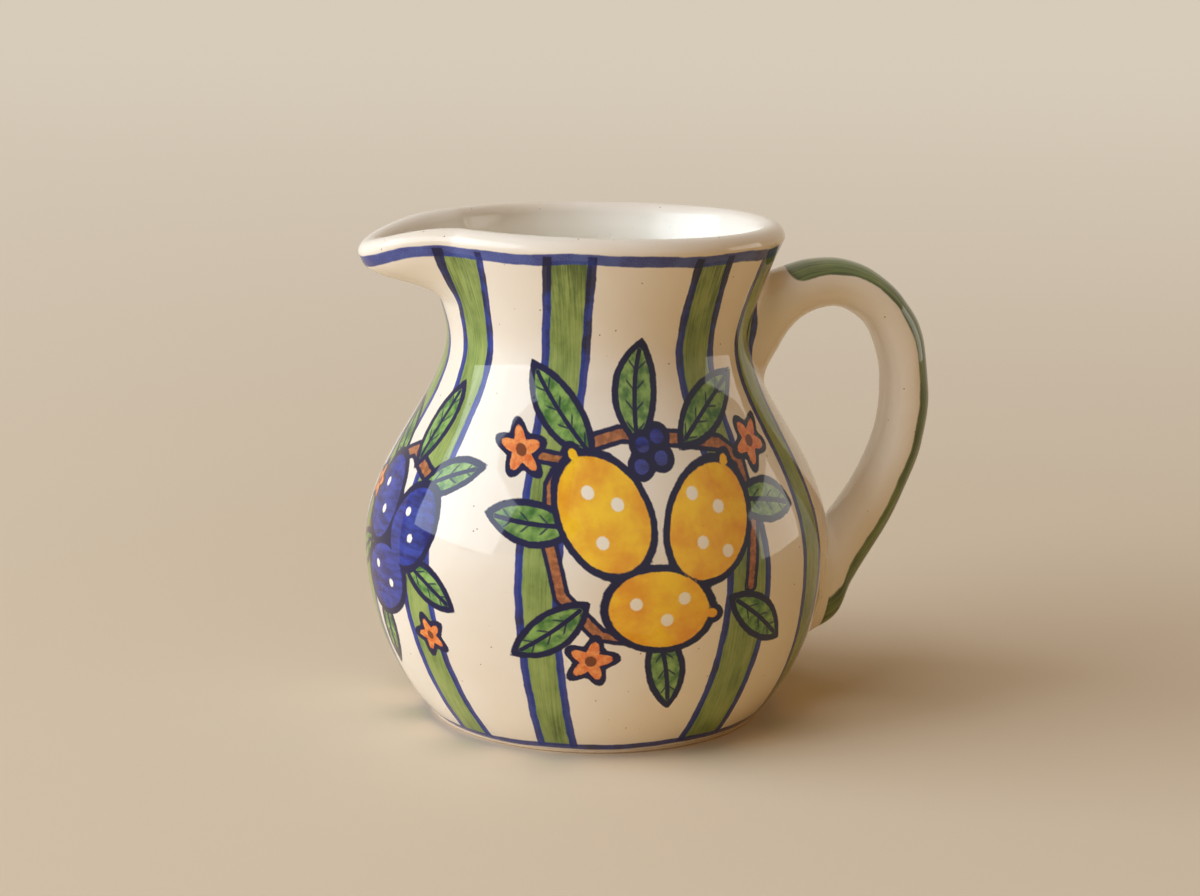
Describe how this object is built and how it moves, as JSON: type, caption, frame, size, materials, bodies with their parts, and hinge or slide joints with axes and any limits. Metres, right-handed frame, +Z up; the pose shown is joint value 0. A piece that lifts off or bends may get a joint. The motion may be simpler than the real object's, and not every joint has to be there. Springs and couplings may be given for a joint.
{
  "type": "ceramic jug",
  "caption": "Hand-thrown glazed pouring jug with a round belly, narrow neck, pulled spout and loop handle, painted with green and blue stripes and fruit sprays.",
  "frame": {"origin": "centre of the foot ring's standing face, on the axis of the throwing wheel", "axes": "+Z up along the axis of the throwing wheel, spout toward -X, handle toward +X"},
  "size_m": [0.173, 0.1406, 0.15],
  "materials": {
    "foot_clay": "bare fired clay at the standing edge, matt and slightly sandy",
    "painted_glaze": "glossy warm cream tin glaze with brushed green and cobalt painting under it",
    "handle_glaze": "glossy warm cream tin glaze with one brushed green stripe down the spine"
  },
  "bodies": {
    "root": {"foot_ring": "foot_clay", "bowl": "painted_glaze", "shoulder_and_neck": "painted_glaze", "rim_and_spout": "painted_glaze", "handle": "handle_glaze", "upper_slip_joint": "handle_glaze", "lower_slip_joint": "handle_glaze"}
  },
  "joints": []
}
